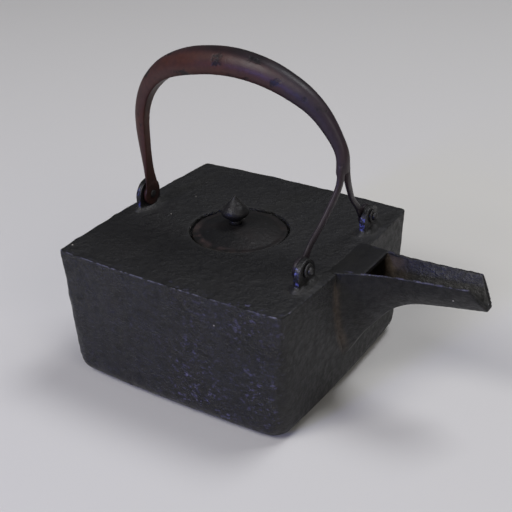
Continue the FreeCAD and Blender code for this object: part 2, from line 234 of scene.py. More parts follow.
def castIron(name, look):
    # Black cast iron; each piece writes its masks on its mesh as attributes: real rust and dust, a rubbed rim
    # with a painted highlight, calm parts darkened as painted shade, and painted glints.
    effects = castEffects
    material, tree, shader, place = startMaterial(name)
    skin = useGroup(tree, castSkin, Place=place, Grain=look["grain"], Ripple=look["ripple"],
                    Ripple_Depth=look["rippleDepth"])
    wear = useGroup(tree, edgeWear, Place=place, Low=look["wearLow"], High=look["wearHigh"]).outputs["Wear"]
    speck = useGroup(tree, specks, Place=place).outputs["Speck"]
    rust = attributeFactor(tree, "rust")
    dust = attributeFactor(tree, "dust")
    calmAndPaintedShade = attributeFactor(tree, "calmAndPaintedShade")
    # The rub mask is a worn rim with a painted bluish highlight, broken up by a noise.
    uneven = spread(tree, noiseNode(tree, place, effects["rubScale"]), *effects["rubRange"])
    rub = maths(tree, "MULTIPLY", attributeFactor(tree, "rub"), uneven)
    colour = blendColour(tree, skin.outputs["Tone"], look["dark"], look["base"])
    brownish = maths(tree, "MULTIPLY", skin.outputs["Patch"], look["patch"])
    colour = blendColour(tree, brownish, colour, look["brown"])
    # Painted shade: the calm parts are darkened towards the dark tone.
    colour = blendColour(tree, maths(tree, "MULTIPLY", calmAndPaintedShade, effects["paintedShadeAmount"]), colour, look["dark"])
    rusty = maths(tree, "MULTIPLY", rust, spread(tree, skin.outputs["Height"], *effects["rustRange"]))
    colour = blendColour(tree, rusty, colour, look["rust"])
    dusty = maths(tree, "MULTIPLY", dust, spread(tree, skin.outputs["Tone"], *effects["dustRange"]))
    colour = blendColour(tree, dusty, colour, look["dust"])
    colour = blendColour(tree, maths(tree, "MULTIPLY", wear, look["wear"]), colour, look["worn"])
    # Painted glints: bluish flecks of reflected light.
    paintedGlint = maths(tree, "MULTIPLY", skin.outputs["Painted Glint Fleck"], attributeFactor(tree, "paintedGlint"))
    colour = blendColour(tree, paintedGlint, colour, look["paintedGlintColour"])
    # A worn rim with a painted bluish highlight.
    colour = blendColour(tree, rub, colour, look["rubbedAndPaintedHighlight"])
    colour = blendColour(tree, speck, colour, effects["speck"])
    roughest = look["rough"] + effects["dullest"]
    smoothest = look["rough"] - effects["glossiest"]
    roughness = spread(tree, skin.outputs["Tone"], 0.0, 1.0, roughest, smoothest)
    dirt = maths(tree, "ADD", rust, dust)
    changes = (("ADD", dirt, "dirtRough"), ("SUBTRACT", rub, "rubRough"), ("SUBTRACT", paintedGlint, "glintRough"),
               ("ADD", calmAndPaintedShade, "calmRough"))
    for operation, mask, amount in changes:
        roughness = maths(tree, operation, roughness, maths(tree, "MULTIPLY", mask, effects[amount]), True)
    relief = maths(tree, "SUBTRACT", 1.0, maths(tree, "MULTIPLY", calmAndPaintedShade, effects["calmRelief"]))
    height = maths(tree, "MULTIPLY", skin.outputs["Height"], relief)
    shader.inputs["Specular IOR Level"].default_value = look["specular"]
    finishMaterial(tree, shader, colour, roughness, height, look["bump"], look["bumpDepth"])
    return material


# The body's look, and what the other cast pieces change in it.
bodyLook = {"grain": 700.0, "ripple": 330.0, "rippleDepth": 2.0, "dark": (0.0028, 0.0028, 0.003, 1),
            "base": (0.0072, 0.007, 0.0078, 1), "brown": (0.0105, 0.0085, 0.0078, 1), "patch": 0.4,
            "rust": (0.085, 0.063, 0.046, 1), "dust": (0.036, 0.035, 0.0335, 1),
            "worn": (0.032, 0.032, 0.036, 1), "wear": 0.6, "wearLow": 0.53, "wearHigh": 0.6,
            # Of these, the bluish glint colour is a painted glint, and the bluish rubbed colour a worn rim
            # with a painted highlight.
            "paintedGlintColour": (0.085, 0.08, 0.17, 1), "rubbedAndPaintedHighlight": (0.14, 0.14, 0.2, 1), "rough": 0.4, "specular": 0.5,
            "bump": 1.0, "bumpDepth": 0.0014}
lidLook = dict(bodyLook, base=(0.0052, 0.005, 0.0053, 1), brown=(0.0135, 0.0095, 0.0085, 1), patch=0.5,
               rust=(0.05, 0.031, 0.028, 1), rippleDepth=0.6, bump=0.35, rough=0.56, specular=0.3)
knobLook = dict(bodyLook, base=(0.011, 0.0108, 0.0115, 1), dark=(0.0055, 0.0054, 0.0056, 1), bump=0.35,
                rough=0.46, rippleDepth=0.5, specular=0.3)
# The lugs' bluish glint colour is a painted highlight on their front faces.
lugLook = dict(bodyLook, base=(0.007, 0.0068, 0.0076, 1), paintedGlintColour=(0.09, 0.1, 0.33, 1),
               dust=(0.024, 0.0235, 0.023, 1), wear=0.4, wearLow=0.51, wearHigh=0.56, bump=0.4,
               rippleDepth=0.6, rough=0.38)
pinLook = dict(bodyLook, base=(0.014, 0.0135, 0.0138, 1), dark=(0.006, 0.0058, 0.006, 1), bump=0.5,
               rough=0.42, rippleDepth=0.5)
spoutLook = dict(bodyLook, grain=900.0, rippleDepth=0.5, bump=0.3, rough=0.46, specular=0.36,
                 # The spout's rubbed colour is a painted bluish highlight along its rim.
                 rubbedAndPaintedHighlight=(0.055, 0.053, 0.095, 1))
castBody = castIron("castBody", bodyLook)
castSpout = castIron("castSpout", spoutLook)
castLid = castIron("castLid", lidLook)
castKnob = castIron("castKnob", knobLook)
castLug = castIron("castLug", lugLook)
forgedPin = castIron("forgedPin", pinLook)


# Hand-forged bar: a rubbed red-brown patina, cooler parts with a painted sheen on the top, painted shade on
# the top, darker feet, dark stains and small pits.
forgedLook = {"red": (0.07, 0.024, 0.0145, 1), "violet": (0.031, 0.021, 0.027, 1),
              "stain": (0.005, 0.0047, 0.0058, 1), "worn": (0.07, 0.04, 0.038, 1), "grain": 1100.0,
              "ripple": 90.0, "rippleDepth": 0.5, "wearLow": 0.52, "wearHigh": 0.62, "wear": 0.4,
              "toneScale": 26.0, "toneRange": (0.36, 0.64), "toneShare": 0.35, "stainScale": 95.0,
              "stainRange": (0.575, 0.68), "stainShare": 0.85, "grainStain": 0.25, "pitDepth": -0.8,
              "grainDepth": 0.5, "roughScale": 60.0, "roughRange": (0.3, 0.7, 0.36, 0.5), "specular": 0.28,
              "bump": 0.45, "bumpDepth": 0.0003}


def forgedIron():
    look = forgedLook
    material, tree, shader, place = startMaterial("forgedHandle")
    skin = useGroup(tree, castSkin, Place=place, Grain=look["grain"], Ripple=look["ripple"],
                    Ripple_Depth=look["rippleDepth"])
    wear = useGroup(tree, edgeWear, Place=place, Low=look["wearLow"], High=look["wearHigh"]).outputs["Wear"]
    tone = spread(tree, noiseNode(tree, place, look["toneScale"], 4.0, 0.6), *look["toneRange"])
    stain = spread(tree, noiseNode(tree, place, look["stainScale"], 5.0, 0.62), *look["stainRange"])
    coolTone = maths(tree, "MULTIPLY", tone, look["toneShare"])
    # The cool mask also carries a painted sheen on the bar's top.
    cool = maths(tree, "ADD", coolTone, attributeFactor(tree, "cool"), True)
    stained = maths(tree, "MULTIPLY", stain, look["stainShare"])
    darkGrain = maths(tree, "MULTIPLY", skin.outputs["Tone"], look["grainStain"])
    colour = blendColour(tree, cool, look["red"], look["violet"])
    colour = blendColour(tree, darkGrain, colour, look["stain"])
    colour = blendColour(tree, stained, colour, look["stain"])
    colour = blendColour(tree, maths(tree, "MULTIPLY", wear, look["wear"]), colour, look["worn"])
    # Painted shade on the top, and darker feet, in the stain colour.
    colour = blendColour(tree, attributeFactor(tree, "paintedTopShadeAndDarkFoot"), colour, look["stain"])
    pits = maths(tree, "MULTIPLY", stain, look["pitDepth"])
    height = maths(tree, "ADD", maths(tree, "MULTIPLY", skin.outputs["Height"], look["grainDepth"]), pits)
    roughness = spread(tree, noiseNode(tree, place, look["roughScale"]), *look["roughRange"])
    shader.inputs["Specular IOR Level"].default_value = look["specular"]
    finishMaterial(tree, shader, colour, roughness, height, look["bump"], look["bumpDepth"])
    return material


forgedHandle = forgedIron()
print("materials made")


# Mesh helpers.
def newPiece(name, mesh, material, body, replaced):
    piece = bpy.data.objects.new(name, mesh)
    bpy.context.scene.collection.objects.link(piece)
    mesh.materials.clear()
    mesh.materials.append(material)
    for face in mesh.polygons:
        face.use_smooth = True
    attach(piece, body)
    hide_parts(*replaced)
    return piece


def meshFrom(bm, name):
    mesh = bpy.data.meshes.new(name)
    bm.to_mesh(mesh)
    bm.free()
    return mesh


def withModifiers(mesh, modifiers):
    # The mesh after each modifier in turn; every modifier is a kind and its settings.
    carrier = bpy.data.objects.new("carrier", mesh)
    bpy.context.scene.collection.objects.link(carrier)
    for kind, settings in modifiers:
        modifier = carrier.modifiers.new(kind.lower(), kind)
        for name, value in settings.items():
            setattr(modifier, name, value)
    evaluated = carrier.evaluated_get(bpy.context.evaluated_depsgraph_get())
    result = bpy.data.meshes.new_from_object(evaluated)
    bpy.data.objects.remove(carrier)
    return result


def smoothstep(low, high, value):
    t = min(max((value - low) / (high - low), 0.0), 1.0)
    return t * t * (3 - 2 * t)


def mix(first, second, t):
    return first + (second - first) * t


def ringLoft(bm, rings):
    # A closed loop carried through every ring by extruding its edges and moving the new vertices.
    made = bmesh.ops.create_circle(bm, segments=len(rings[0]), radius=1.0)["verts"]
    edges = sorted({e for v in made for e in v.link_edges}, key=lambda e: e.index)
    for vertex, place in zip(made, rings[0]):
        vertex.co = place
    loop = made
    for ring in rings[1:]:
        grown = bmesh.ops.extrude_edge_only(bm, edges=edges)["geom"]
        edges = [g for g in grown if isinstance(g, bmesh.types.BMEdge)]
        fresh = set(g for g in grown if isinstance(g, bmesh.types.BMVert))
        following = {}
        for vertex in loop:
            for edge in vertex.link_edges:
                other = edge.other_vert(vertex)
                if other in fresh:
                    following[vertex] = other
        loop = [following[vertex] for vertex in loop]
        for vertex, place in zip(loop, ring):
            vertex.co = place


def layer(bm, name):
    return bm.verts.layers.float.get(name) or bm.verts.layers.float.new(name)


def roughen(bm, steps, hold=None):
    # Moves each vertex along its normal by several noises: size, depth and kind of each.
    bm.normal_update()
    moves = []
    for vertex in bm.verts:
        move = 0.0
        for size, depth, seed in steps:
            move += depth * noise.noise(vertex.co / size + Vector((seed, seed * 0.7, -seed)))
        moves.append(move * (hold(vertex.co) if hold else 1.0))
    for vertex, move in zip(bm.verts, moves):
        vertex.co += vertex.normal * move


# Body: sizes in millimetres. The sides bow outwards by the crown, and the section is a rounded square.
kettle = {"half": 67.0, "crown": 2.0, "height": 75.0, "draft": 0.8, "cornerTop": 2.2, "cornerBase": 12.0,
          "baseRound": 10.0, "rimRound": 0.9, "wall": 3.6, "topPlate": 4.0, "mouthX": 1.0,
          "mouthRadius": 22.5, "seatRadius": 26.8, "seatDepth": 3.4, "bossRadius": 31.0, "bossDrop": 3.5,
          "innerCornerTop": 3.0, "innerCornerBase": 8.4, "innerRound": 5, "sideSteps": 106, "cornerSteps": 14}
# How many rings of vertices go over each part of the body.
kettleSteps = {"base": 9, "baseRound": 12, "side": 59, "rimRound": 4, "plate": 36, "ceiling": 8, "inside": 12,
               "innerRound": 4, "innerFloor": 7}
# Rust, dust, worn edges with a painted highlight that is strongest at the front, and patches of painted
# glints on the body: how much, and where the lugs stand.
kettleWear = {"roughness": ((0.034, 0.00015, 3.1), (0.013, 0.00018, 7.7), (0.0065, 0.0003, 1.9),
                            (0.0036, 0.00026, 5.3)),
              "lugs": ((60.2, -34.4), (60.2, 34.4), (-60.2, 0)), "lugDust": 0.8, "mouthDust": 0.25,
              "rubAndPaintedHighlightFront": 1.0, "rubAndPaintedHighlightElsewhere": 0.15, "rustNear": 1.0, "rustFar": 0.5, "patchSize": 0.022}


def squareRing(half, corner, z):
    crown = kettle["crown"]
    reach = (half * half + crown * crown) / (2 * crown)
    middle = half + crown - reach
    centre = (middle + math.sqrt(2 * (reach - corner) ** 2 - middle ** 2)) / 2
    turn = math.atan2(centre, centre - middle)
    ring = []
    for quarter in range(4):
        spin = Matrix.Rotation(math.pi / 2 * quarter, 3, "Z")
        for step in range(kettle["sideSteps"]):
            angle = mix(-turn, turn, step / kettle["sideSteps"])
            ring.append(spin @ Vector((middle + reach * math.cos(angle), reach * math.sin(angle), z)))
        for step in range(kettle["cornerSteps"]):
            angle = mix(turn, math.pi / 2 - turn, step / kettle["cornerSteps"])
            x, y = centre + corner * math.cos(angle), centre + corner * math.sin(angle)
            ring.append(spin @ Vector((x, y, z)))
    return ring


def roundRing(like, radius, z):
    middle = kettle["mouthX"]
    ring = []
    for place in like:
        angle = math.atan2(place.y, place.x)
        ring.append(Vector((middle + radius * math.cos(angle), radius * math.sin(angle), z)))
    return ring


def blendRings(first, second, count):
    return [[a.lerp(b, step / count) for a, b in zip(first, second)] for step in range(1, count)]


def wallRing(inset, z, corner):
    half = kettle["half"] - kettle["draft"] * (1 - z / kettle["height"]) - inset
    return squareRing(half, max(corner, 0.4), z)


def kettleRings():
    k = kettle
    steps = kettleSteps
    top = k["height"]
    rings = []
    flat = wallRing(k["baseRound"], 0, k["cornerBase"] - k["baseRound"])
    pole = [Vector((0, 0, 0)) for place in flat]
    rings.append(pole)
    rings.extend(blendRings(pole, flat, steps["base"]))
    for step in range(steps["baseRound"] + 1):
        angle = math.pi / 2 * step / steps["baseRound"]
        inset = k["baseRound"] * (1 - math.sin(angle))
        rings.append(wallRing(inset, k["baseRound"] * (1 - math.cos(angle)), k["cornerBase"] - inset))
    start, stop = k["baseRound"], top - k["rimRound"]
    for step in range(1, steps["side"] + 1):
        z = mix(start, stop, step / steps["side"])
        rings.append(wallRing(0, z, mix(k["cornerBase"], k["cornerTop"], z / top)))
    for step in range(1, steps["rimRound"] + 1):
        angle = math.pi / 2 * step / steps["rimRound"]
        inset = k["rimRound"] * (1 - math.cos(angle))
        rings.append(wallRing(inset, stop + k["rimRound"] * math.sin(angle), k["cornerTop"] - inset))
    edge = rings[-1]
    lip = roundRing(edge, k["seatRadius"] + 0.5, top)
    rings.extend(blendRings(edge, lip, steps["plate"]))
    rings.append(lip)
    ledge = top - k["seatDepth"]
    under = top - k["topPlate"] - k["bossDrop"]
    seat = [(k["seatRadius"] + 0.15, top - 0.15), (k["seatRadius"], top - 0.5), (k["seatRadius"], top - 1.5),
            (k["seatRadius"], top - 2.5), (k["seatRadius"], ledge + 0.2), (k["seatRadius"] - 0.3, ledge),
            (25.0, ledge), (k["mouthRadius"] + 0.4, ledge), (k["mouthRadius"], ledge - 0.4),
            (k["mouthRadius"], ledge - 2.0), (k["mouthRadius"], under + 0.4), (k["mouthRadius"] + 0.4, under),
            (27.0, under), (k["bossRadius"] - 0.4, under), (k["bossRadius"], under + 0.4),
            (k["bossRadius"], top - k["topPlate"] - 0.4)]
    for radius, z in seat:
        rings.append(roundRing(edge, radius, z))
    ceiling = top - k["topPlate"]
    inner = wallRing(k["wall"] + 1.5, ceiling, 1.5)
    boss = roundRing(edge, k["bossRadius"] + 0.4, ceiling)
    rings.append(boss)
    rings.extend(blendRings(boss, inner, steps["ceiling"]))
    rings.append(inner)
    rings.append(wallRing(k["wall"] + 0.4, ceiling - 0.4, 2.6))
    rings.append(wallRing(k["wall"], ceiling - 1.5, k["innerCornerTop"]))
    for step in range(1, steps["inside"] + 1):
        z = mix(ceiling - 1.5, k["wall"] + k["innerRound"], step / steps["inside"])
        rings.append(wallRing(k["wall"], z, mix(k["innerCornerBase"], k["innerCornerTop"], z / top)))
    for step in range(1, steps["innerRound"] + 1):
        angle = math.pi / 2 * step / steps["innerRound"]
        inset = k["innerRound"] * (1 - math.cos(angle))
        z = k["wall"] + k["innerRound"] * (1 - math.sin(angle))
        rings.append(wallRing(k["wall"] + inset, z, k["innerCornerBase"] - inset))
    floor = rings[-1]
    pole = [Vector((0, 0, k["wall"])) for place in floor]
    rings.extend(blendRings(floor, pole, steps["innerFloor"]))
    rings.append(pole)
    return rings


# Spout: each row is x, rim height above the top plate, half width at the rim and at mid depth,
# height of the keel above the base and its half width.
spout = {"rows": ((60, -0.9, 17.9, 15.6, 14.0, 1.5), (63, -0.4, 17.6, 15.0, 18.0, 1.6),
                  (70, 0.7, 17.0, 13.2, 25.5, 1.8), (77, 1.6, 15.6, 11.6, 35.3, 2.2),
                  (85, 2.2, 13.6, 10.0, 45.8, 2.6), (93, 2.8, 12.2, 8.8, 55.0, 2.8),
                  (103, 3.5, 11.4, 8.2, 60.6, 2.8), (117, 4.4, 10.6, 7.6, 63.8, 2.7),
                  (132, 5.4, 9.8, 6.8, 66.2, 2.6), (145, 6.2, 9.2, 6.2, 68.2, 2.6)),
         "rimWall": 1.25, "sideWall": 2.3, "keelWall": 2.2, "roof": 2.5, "hoodEnd": 81.5, "rootX": 66.3,
         "flare": 3.4, "flareLength": 11.0, "tipTop": (133.0, 5.4), "tipBase": (142.6, -9.5),
         "midDepth": 0.45, "curvePoints": 26, "rootStep": 0.9, "rootRings": 16, "neckX": 81.5,
         "neckStep": 2.2, "neckRings": 29, "channelUnder": (61.5, 64, 66.5, 69, 71.5, 74, 76.5, 79),
         "channelOpen": (84, 87, 90, 94, 98, 102, 107, 112, 118, 124, 130, 136, 142),
         "roughness": ((0.018, 0.0002, 2.2), (0.007, 0.0001, 4.4), (0.0031, 0.00004, 8.1)),
         "voxel": 0.0005, "smoothing": 2}


def spoutRow(x):
    # The row at any x, on a smooth curve through the rows above.
    rows = spout["rows"]
    at = max(i for i in range(len(rows) - 1) if rows[i][0] <= x or i == 0)
    before, first = rows[max(at - 1, 0)], rows[at]
    second, after = rows[at + 1], rows[min(at + 2, len(rows) - 1)]
    t = (x - first[0]) / (second[0] - first[0])
    values = []
    for i in range(1, 6):
        lean = (second[i] - before[i]) * (second[0] - first[0]) / max(second[0] - before[0], 1)
        nextLean = (after[i] - first[i]) * (second[0] - first[0]) / max(after[0] - first[0], 1)
        values.append((2 * t ** 3 - 3 * t * t + 1) * first[i] + (t ** 3 - 2 * t * t + t) * lean
                      + (3 * t * t - 2 * t ** 3) * second[i] + (t ** 3 - t * t) * nextLean)
    return values


def sideCurve(rim, mid, keel, count):
    # Points from the rim over the middle to the keel, each (half width, height).
    upper = math.dist(rim, mid)
    whole = upper + math.dist(mid, keel)
    turn = upper / whole
    points = []
    for step in range(count):
        t = step / (count - 1)
        weights = ((t - turn) * (t - 1) / turn, t * (t - 1) / (turn * (turn - 1)),
                   t * (t - turn) / (1 - turn))
        points.append(tuple(sum(w * p[i] for w, p in zip(weights, (rim, mid, keel))) for i in (0, 1)))
    return points


def closedSection(curve, top, place):
    # Right side down, keel across, left side up and the top across, as one ring.
    ring = [place(half, height) for half, height in curve]
    keelHalf, keelHeight = curve[-1]
    ring += [place(mix(keelHalf, -keelHalf, step / 4), keelHeight) for step in (1, 2, 3)]
    ring += [place(-half, height) for half, height in reversed(curve)]
    rimHalf, rimHeight = curve[0]
    if top > rimHeight:
        ring.append(place(-rimHalf, top))
    for step in range(1, 8):
        ring.append(place(mix(-rimHalf, rimHalf, step / 8), max(top, rimHeight)))
    if top > rimHeight:
        ring.append(place(rimHalf, top))
    return ring


def outerRing(x):
    rim, rimHalf, midHalf, keel, keelHalf = spoutRow(x)
    near = 1 - smoothstep(0, 1, (x - spout["rootX"]) / spout["flareLength"])
    flare = spout["flare"] * near * near
    top = kettle["height"] + rim - 0.5 * (1 - smoothstep(66, 70, x))
    mid = keel + spout["midDepth"] * (top - keel)
    curve = sideCurve((rimHalf + 0.25 * flare, top), (midHalf + flare, mid), (keelHalf + flare, keel - flare),
                      spout["curvePoints"])

    def place(across, height):
        # The root's top edge leans back into the body.
        back = 4.6 * smoothstep(70.5, 74.2, height) * (1 - smoothstep(66, 72, x))
        return Vector((x - back, across, height)) * mm

    return closedSection(curve, top, place)


def channelRing(x, covered):
    rim, rimHalf, midHalf, keel, keelHalf = spoutRow(x)
    top = kettle["height"] + rim
    low = keel + spout["keelWall"]
    mid = low + spout["midDepth"] * (top - low)
    curve = sideCurve((rimHalf - spout["rimWall"], top), (midHalf - spout["sideWall"], mid),
                      (max(keelHalf - 1.0, 0.9), low), spout["curvePoints"])
    ceiling = top + 8
    if covered:
        roof = kettle["height"] + rim - spout["roof"]
        curve = [(half * (1 - 0.12 * smoothstep(0, 6, height - roof + 6)), min(height, roof))
                 for half, height in curve]
        ceiling = roof + 0.02
    return closedSection(curve, ceiling, lambda across, height: Vector((x, across, height)) * mm)


def closeEnds(bm):
    bmesh.ops.holes_fill(bm, edges=[e for e in bm.edges if e.is_boundary], sides=0)
    bmesh.ops.recalc_face_normals(bm, faces=bm.faces[:])


def channelMesh():
    # The spout's inside: covered as far as the hood's end, and open above beyond it.
    bm = bmesh.new()
    end = spout["hoodEnd"]
    rings = [channelRing(x, True) for x in (*spout["channelUnder"], end)]
    rings += [channelRing(x, False) for x in (end + 0.05, *spout["channelOpen"])]
    ringLoft(bm, rings)
    closeEnds(bm)
    return meshFrom(bm, "channel")


rootRing = [place / mm for place in outerRing(68.5)]


def rootHalfWidth(z):
    # Half width of the spout where it meets the body's side, by height above the base in millimetres.
    return max((abs(p.y) for p in rootRing if abs(p.z - z) < 1.5), default=0.0)


def makeKettle():
    bm = bmesh.new()
    ringLoft(bm, [[place * mm for place in ring] for ring in kettleRings()])
    bmesh.ops.remove_doubles(bm, verts=bm.verts[:], dist=1e-6)
    bmesh.ops.recalc_face_normals(bm, faces=bm.faces[:])

    def hold(place):
        # The seat and the flat base stay true; the front is the roughest side, the spout's the smoothest.
        fromMouth = math.hypot(place.x / mm - kettle["mouthX"], place.y / mm)
        seat = smoothstep(25.0, 32.0, fromMouth)
        base = smoothstep(0.5, 5.0, place.z / mm)
        plate = 1.0 - 0.6 * smoothstep(74.85, 75.0, place.z / mm)
        front = 1.0 + 0.4 * smoothstep(60.0, 66.0, -place.y / mm) * smoothstep(-20.0, 40.0, place.x / mm)
        right = 1.0 - 0.55 * smoothstep(62.0, 66.0, place.x / mm)
        return seat * base * plate * front * right

    roughen(bm, kettleWear["roughness"], hold)
    rust, dust, rub, calmAndPaintedShade, paintedGlint = (layer(bm, name) for name in ("rust", "dust", "rub", "calmAndPaintedShade", "paintedGlint"))
    for vertex in bm.verts:
        x, y, z = vertex.co / mm
        # Painted glints on the front face, more towards the spout, in patches of bluish light.
        patch = 0.5 + 0.5 * noise.noise(vertex.co / kettleWear["patchSize"])
        towardsSpout = 0.25 + 0.9 * smoothstep(-15.0, 30.0, x)
        vertex[paintedGlint] = towardsSpout * smoothstep(62.0, 66.0, -y) * smoothstep(0.2, 0.7, patch)
        # The calm mask: the top plate and the spout's side, smoothed and darkened as painted shade.
        flat = smoothstep(0.75, 0.95, vertex.normal.z) * smoothstep(73.5, 74.4, z)
        vertex[calmAndPaintedShade] = max(flat, 0.95 * smoothstep(60.0, 66.0, x) * (1 - smoothstep(64.0, 66.5, abs(y))))
        # The rim's edge: worn, with a painted highlight that is strongest at the front.
        if z > 72.5 and max(abs(x), abs(y)) > 64:
            lean = abs(vertex.normal.z)
            edge = smoothstep(0.3, 0.5, lean) * (1 - smoothstep(0.75, 0.92, lean))
            vertex[rub] = edge * (kettleWear["rubAndPaintedHighlightFront"] if y < -60 else kettleWear["rubAndPaintedHighlightElsewhere"])
        if x > 64:
            gap = abs(abs(y) - rootHalfWidth(z))
            streak = (1 - smoothstep(0.6, 3.2, gap)) * smoothstep(18, 30, z) * (1 - smoothstep(66, 75, z))
            uneven = 0.55 + 0.45 * noise.noise(Vector((y, z, 3.0)) * 0.35)
            vertex[rust] = streak * uneven * (kettleWear["rustNear"] if y < 0 else kettleWear["rustFar"])
        if z > 73.5:
            for lugX, lugY in kettleWear["lugs"]:
                away = math.hypot(x - lugX, (y - lugY) / 1.7)
                vertex[dust] = max(vertex[dust], kettleWear["lugDust"] * (1 - smoothstep(3.5, 10.0, away)))
            away = math.hypot(x - kettle["mouthX"], y) - kettle["seatRadius"]
            vertex[dust] = max(vertex[dust], kettleWear["mouthDust"] * (1 - smoothstep(0.2, 3.0, abs(away))))
    return meshFrom(bm, "kettleBody")


def cutAway(mesh, cutterMesh):
    cutter = bpy.data.objects.new("cutter", cutterMesh)
    bpy.context.scene.collection.objects.link(cutter)
    settings = {"operation": "DIFFERENCE", "solver": "EXACT", "object": cutter}
    result = withModifiers(mesh, [("BOOLEAN", settings)])
    bpy.data.objects.remove(cutter)
    return result


body = newPiece("kettleBody", cutAway(makeKettle(), channelMesh()), castBody, "kettle",
                ["kettle_body"])
print("kettle body made:", len(body.data.polygons), "faces")


def mergedCopy(node):
    # A closed copy of a CAD node, whose own mesh is loose triangles.
    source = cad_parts[node]
    bm = bmesh.new()
    bm.from_mesh(source.data)
    bmesh.ops.remove_doubles(bm, verts=bm.verts[:], dist=2e-6)
    return meshFrom(bm, node + "Copy")


def softened(mesh, voxel, rounds):
    # An even mesh with soft edges. Each smoothing is followed by a swelling, so thin bars keep their size.
    steps = [("REMESH", {"mode": "VOXEL", "voxel_size": voxel})]
    for turn in range(rounds):
        steps.append(("SMOOTH", {"iterations": 1, "factor": 0.6}))
        steps.append(("SMOOTH", {"iterations": 1, "factor": -0.45}))
    steps.append(("SMOOTH", {"iterations": 1, "factor": 0.5}))
    bm = bmesh.new()
    bm.from_mesh(withModifiers(mesh, steps))
    return bm


def makeSpout():
    bm = bmesh.new()
    stations = [spout["rootX"] + spout["rootStep"] * step for step in range(spout["rootRings"])]
    stations += [spout["neckX"] + spout["neckStep"] * step for step in range(spout["neckRings"])]
    ringLoft(bm, [outerRing(x) for x in stations])
    closeEnds(bm)
    tipTop = Vector((spout["tipTop"][0], 0, kettle["height"] + spout["tipTop"][1])) * mm
    tipBase = Vector((spout["tipBase"][0], 0, kettle["height"] + spout["tipBase"][1])) * mm
    cut = (tipBase - tipTop).cross(Vector((0, 1, 0)))
    if cut.x < 0:
        cut = -cut
    bmesh.ops.bisect_plane(bm, geom=bm.verts[:] + bm.edges[:] + bm.faces[:], plane_co=tipTop, plane_no=cut,
                           clear_outer=True)
    closeEnds(bm)
    hollow = cutAway(meshFrom(bm, "spoutBlock"), channelMesh())
    bm = softened(hollow, spout["voxel"], spout["smoothing"])

    def hold(place):
        return 0.35 + 0.65 * smoothstep(69, 73, place.x / mm)

    roughen(bm, spout["roughness"], hold)
    dust, rust, calmAndPaintedShade, rub = (layer(bm, name) for name in ("dust", "rust", "calmAndPaintedShade", "rub"))
    for vertex in bm.verts:
        x, y, z = vertex.co / mm
        # The calm mask: the hood's top, smoothed and darkened as painted shade.
        vertex[calmAndPaintedShade] = smoothstep(0.6, 0.9, vertex.normal.z) * (1 - smoothstep(82, 84, x))
        # Along the rim: a painted bluish highlight, stronger on the front side.
        rim = kettle["height"] + spoutRow(min(max(x, spout["rows"][0][0]), spout["rows"][-1][0]))[0]
        along = smoothstep(rim - 0.5, rim - 0.1, z) * smoothstep(70, 78, x)
        onRim = x > spout["hoodEnd"] or abs(y) > 14
        vertex[rub] = along * (1.0 if y < 0 else 0.4) if onRim else 0.0
        face = 68.2 + 0.8 * z / 75 - y * y / 2246  # the body's bowed side
        inside = smoothstep(0.2, 0.7, vertex.normal.z) * smoothstep(82, 84, x)
        vertex[dust] = 0.25 * inside * (1 - smoothstep(68, 73, z))
        edge = (1 - smoothstep(0.6, 3.0, x - face)) * smoothstep(20, 34, z) * (1 - smoothstep(64, 72, z))
        facesIn = vertex.normal.y * y < -0.2 * abs(y) or vertex.normal.z > 0.35
        scale = 0.9 * (1 - smoothstep(83.0, 101.0, x)) * (0.6 + 0.6 * noise.noise(vertex.co / 0.004))
        vertex[rust] = max(edge * (0.8 if y < 0 else 0.4), scale if facesIn and z < rim - 1.2 else 0.0)
    return meshFrom(bm, "spout")


newPiece("pourSpout", makeSpout(), castSpout, "kettle", ["spout"])
print("spout made")


# Lugs: soft edges, and a foot that is smoothed so that it flows into the top plate.
# The glint is a painted highlight on the lugs' front faces.
lugs = {"voxel": 0.0003, "smoothing": 3, "padSoft": 2.6, "padRounds": 14, "sink": 0.45, "paintedGlint": 1.6,
        "dust": 0.75, "dustTop": 79.5, "roughness": ((0.006, 0.00012, 6.0), (0.0026, 0.00004, 2.0))}


def makeLug(node):
    bm = softened(mergedCopy(node), lugs["voxel"], lugs["smoothing"])
    top = kettle["height"]
    foot = [v for v in bm.verts if top - 1.2 < v.co.z / mm < top + lugs["padSoft"]]
    for turn in range(lugs["padRounds"]):
        bmesh.ops.smooth_vert(bm, verts=foot, factor=0.5, use_axis_x=True, use_axis_y=True, use_axis_z=True)
    for vertex in bm.verts:
        low = 1 - smoothstep(top, top + 1.4, vertex.co.z / mm)
        vertex.co.z -= lugs["sink"] * mm * low
    roughen(bm, lugs["roughness"])
    dust = layer(bm, "dust")
    paintedGlint = layer(bm, "paintedGlint")
    for vertex in bm.verts:
        z = vertex.co.z / mm
        # Painted glint on the front face, above the foot.
        frontFace = smoothstep(0.6, 0.92, -vertex.normal.y)
        vertex[paintedGlint] = lugs["paintedGlint"] * frontFace * smoothstep(top + 1, top + 4, z)
        vertex[dust] = lugs["dust"] * (1 - smoothstep(top + 0.4, lugs["dustTop"], z))
    return meshFrom(bm, node)


for node, name in (("rear_lug", "rearLug"), ("right_lug", "rightLug"), ("left_lug", "leftLug")):
    newPiece(name, makeLug(node), castLug, "kettle", [node])
print("lugs made")


# Handle: forged bar, slightly uneven, softened on its edges.
# Handle masks: a cooler tone towards the right with a painted sheen on the top, painted shade on the top, and
# darker feet.
handle = {"voxel": 0.00045, "smoothing": 4, "cool": 0.85, "paintedTopSheen": 0.4, "paintedTopShade": 0.85, "footDarkening": 0.65,
          "roughness": ((0.03, 0.0003, 1.2), (0.012, 0.00012, 4.6), (0.004, 0.00003, 9.0))}


